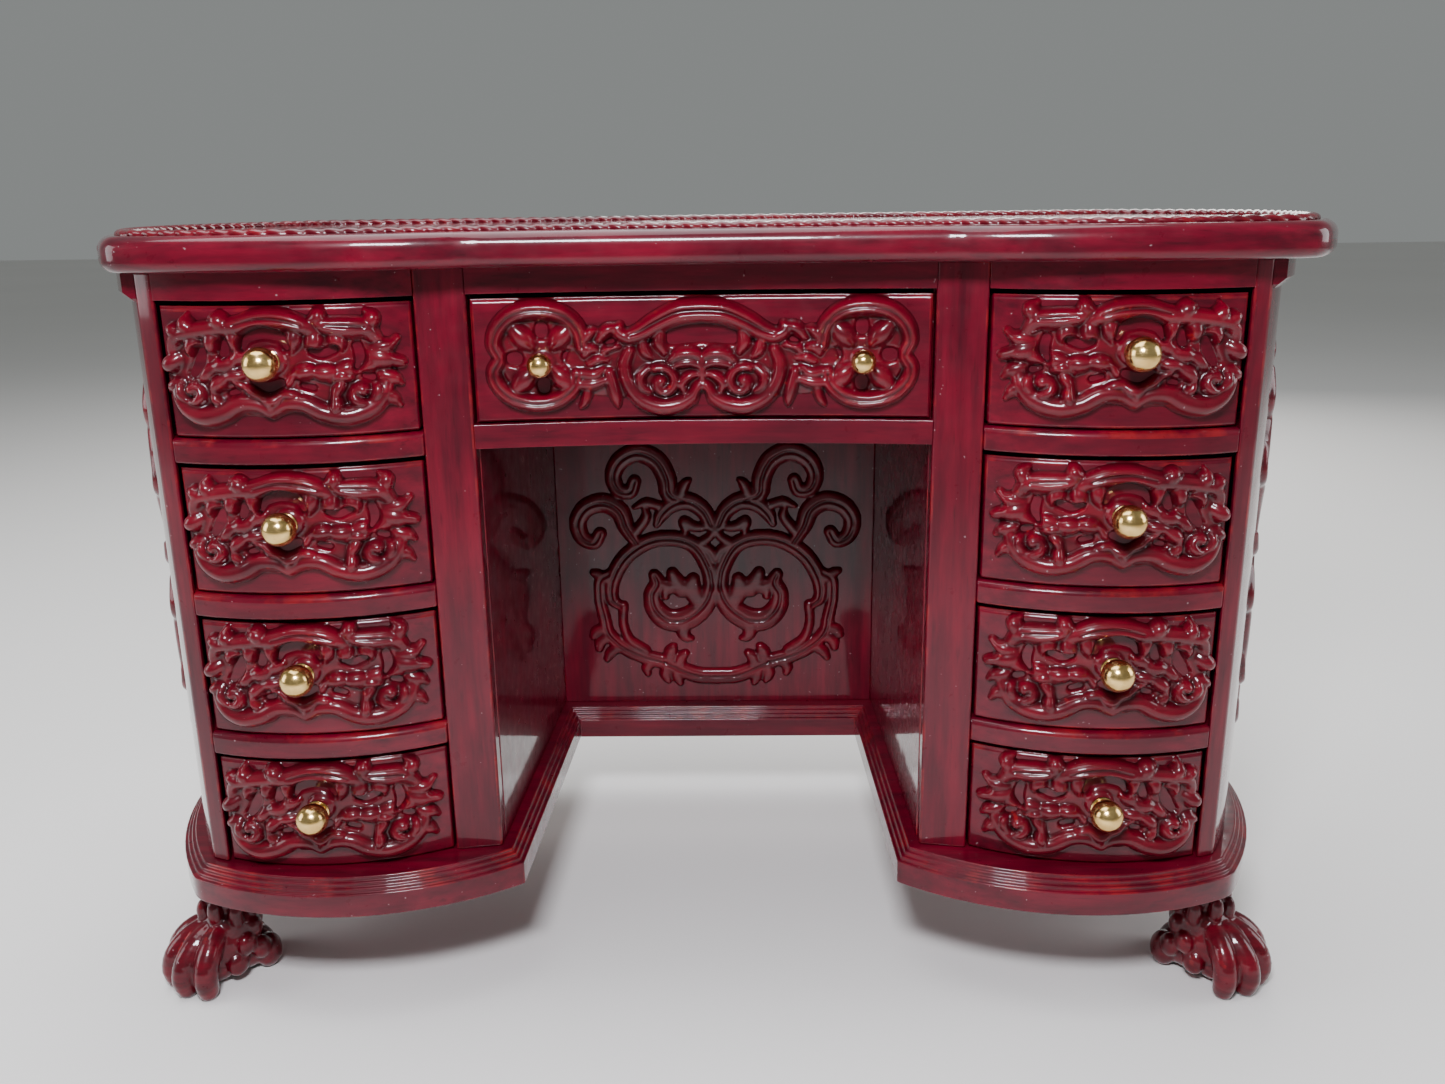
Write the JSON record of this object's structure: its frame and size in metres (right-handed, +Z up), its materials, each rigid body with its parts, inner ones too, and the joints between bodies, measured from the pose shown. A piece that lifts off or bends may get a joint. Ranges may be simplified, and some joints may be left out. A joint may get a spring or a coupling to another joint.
{
  "type": "kneehole desk miniature",
  "caption": "Kidney-shaped miniature kneehole desk in red lacquered wood, with bow-fronted carved drawers, ball knobs, a moulded plinth and paw feet.",
  "frame": {"origin": "on the floor, midway across the desk and midway front to back", "axes": "+X towards the desk's right as seen from the front, +Y towards the back, +Z up; the drawers open towards -Y"},
  "size_m": [0.0993, 0.044, 0.0643],
  "materials": {
    "mahogany": "deep red-brown mahogany stain under a glossy lacquer, with fine straight grain",
    "carved_mahogany": "the same lacquer on carved work, darker in the hollows and worn to red-brown on the high points",
    "drawer_lining": "thinner satin stain on the drawer boxes, grain showing",
    "brass": "polished brass, faintly tarnished round the stem"
  },
  "bodies": {
    "carcase": {"back_panel": "mahogany", "base_plinth": "mahogany", "centre_shelf": "mahogany", "cove_moulding": "mahogany", "frieze_rails": "mahogany", "kneehole_back": "mahogany", "left_back_foot": "carved_mahogany", "left_end_panel": "mahogany", "left_front_foot": "carved_mahogany", "left_inner_stile": "mahogany", "left_kneehole_side": "mahogany", "left_shelf_1": "mahogany", "left_shelf_2": "mahogany", "left_shelf_3": "mahogany", "right_back_foot": "carved_mahogany", "right_end_panel": "mahogany", "right_front_foot": "carved_mahogany", "right_inner_stile": "mahogany", "right_kneehole_side": "mahogany", "right_shelf_1": "mahogany", "right_shelf_2": "mahogany", "right_shelf_3": "mahogany", "rope_border": "carved_mahogany", "top_slab": "mahogany"},
    "left_drawer_1": {"left_drawer_1_carving": "carved_mahogany", "left_drawer_1_front": "mahogany", "left_drawer_1_knob": "brass", "left_drawer_1_tray": "drawer_lining"},
    "left_drawer_2": {"left_drawer_2_carving": "carved_mahogany", "left_drawer_2_front": "mahogany", "left_drawer_2_knob": "brass", "left_drawer_2_tray": "drawer_lining"},
    "left_drawer_3": {"left_drawer_3_carving": "carved_mahogany", "left_drawer_3_front": "mahogany", "left_drawer_3_knob": "brass", "left_drawer_3_tray": "drawer_lining"},
    "left_drawer_4": {"left_drawer_4_carving": "carved_mahogany", "left_drawer_4_front": "mahogany", "left_drawer_4_knob": "brass", "left_drawer_4_tray": "drawer_lining"},
    "right_drawer_1": {"right_drawer_1_carving": "carved_mahogany", "right_drawer_1_front": "mahogany", "right_drawer_1_knob": "brass", "right_drawer_1_tray": "drawer_lining"},
    "right_drawer_2": {"right_drawer_2_carving": "carved_mahogany", "right_drawer_2_front": "mahogany", "right_drawer_2_knob": "brass", "right_drawer_2_tray": "drawer_lining"},
    "right_drawer_3": {"right_drawer_3_carving": "carved_mahogany", "right_drawer_3_front": "mahogany", "right_drawer_3_knob": "brass", "right_drawer_3_tray": "drawer_lining"},
    "right_drawer_4": {"right_drawer_4_carving": "carved_mahogany", "right_drawer_4_front": "mahogany", "right_drawer_4_knob": "brass", "right_drawer_4_tray": "drawer_lining"},
    "centre_drawer": {"centre_drawer_carving": "carved_mahogany", "centre_drawer_front": "mahogany", "centre_drawer_knobs": "brass", "centre_drawer_tray": "drawer_lining"}
  },
  "joints": [
    {"name": "left_drawer_1_slide", "type": "slide", "parent": "carcase", "child": "left_drawer_1", "axis": [0, -1, 0], "range_m": [0, 0.022]},
    {"name": "left_drawer_2_slide", "type": "slide", "parent": "carcase", "child": "left_drawer_2", "axis": [0, -1, 0], "range_m": [0, 0.022]},
    {"name": "left_drawer_3_slide", "type": "slide", "parent": "carcase", "child": "left_drawer_3", "axis": [0, -1, 0], "range_m": [0, 0.022]},
    {"name": "left_drawer_4_slide", "type": "slide", "parent": "carcase", "child": "left_drawer_4", "axis": [0, -1, 0], "range_m": [0, 0.022]},
    {"name": "right_drawer_1_slide", "type": "slide", "parent": "carcase", "child": "right_drawer_1", "axis": [0, -1, 0], "range_m": [0, 0.022]},
    {"name": "right_drawer_2_slide", "type": "slide", "parent": "carcase", "child": "right_drawer_2", "axis": [0, -1, 0], "range_m": [0, 0.022]},
    {"name": "right_drawer_3_slide", "type": "slide", "parent": "carcase", "child": "right_drawer_3", "axis": [0, -1, 0], "range_m": [0, 0.022]},
    {"name": "right_drawer_4_slide", "type": "slide", "parent": "carcase", "child": "right_drawer_4", "axis": [0, -1, 0], "range_m": [0, 0.022]},
    {"name": "centre_drawer_slide", "type": "slide", "parent": "carcase", "child": "centre_drawer", "axis": [0, -1, 0], "range_m": [0, 0.019]}
  ]
}
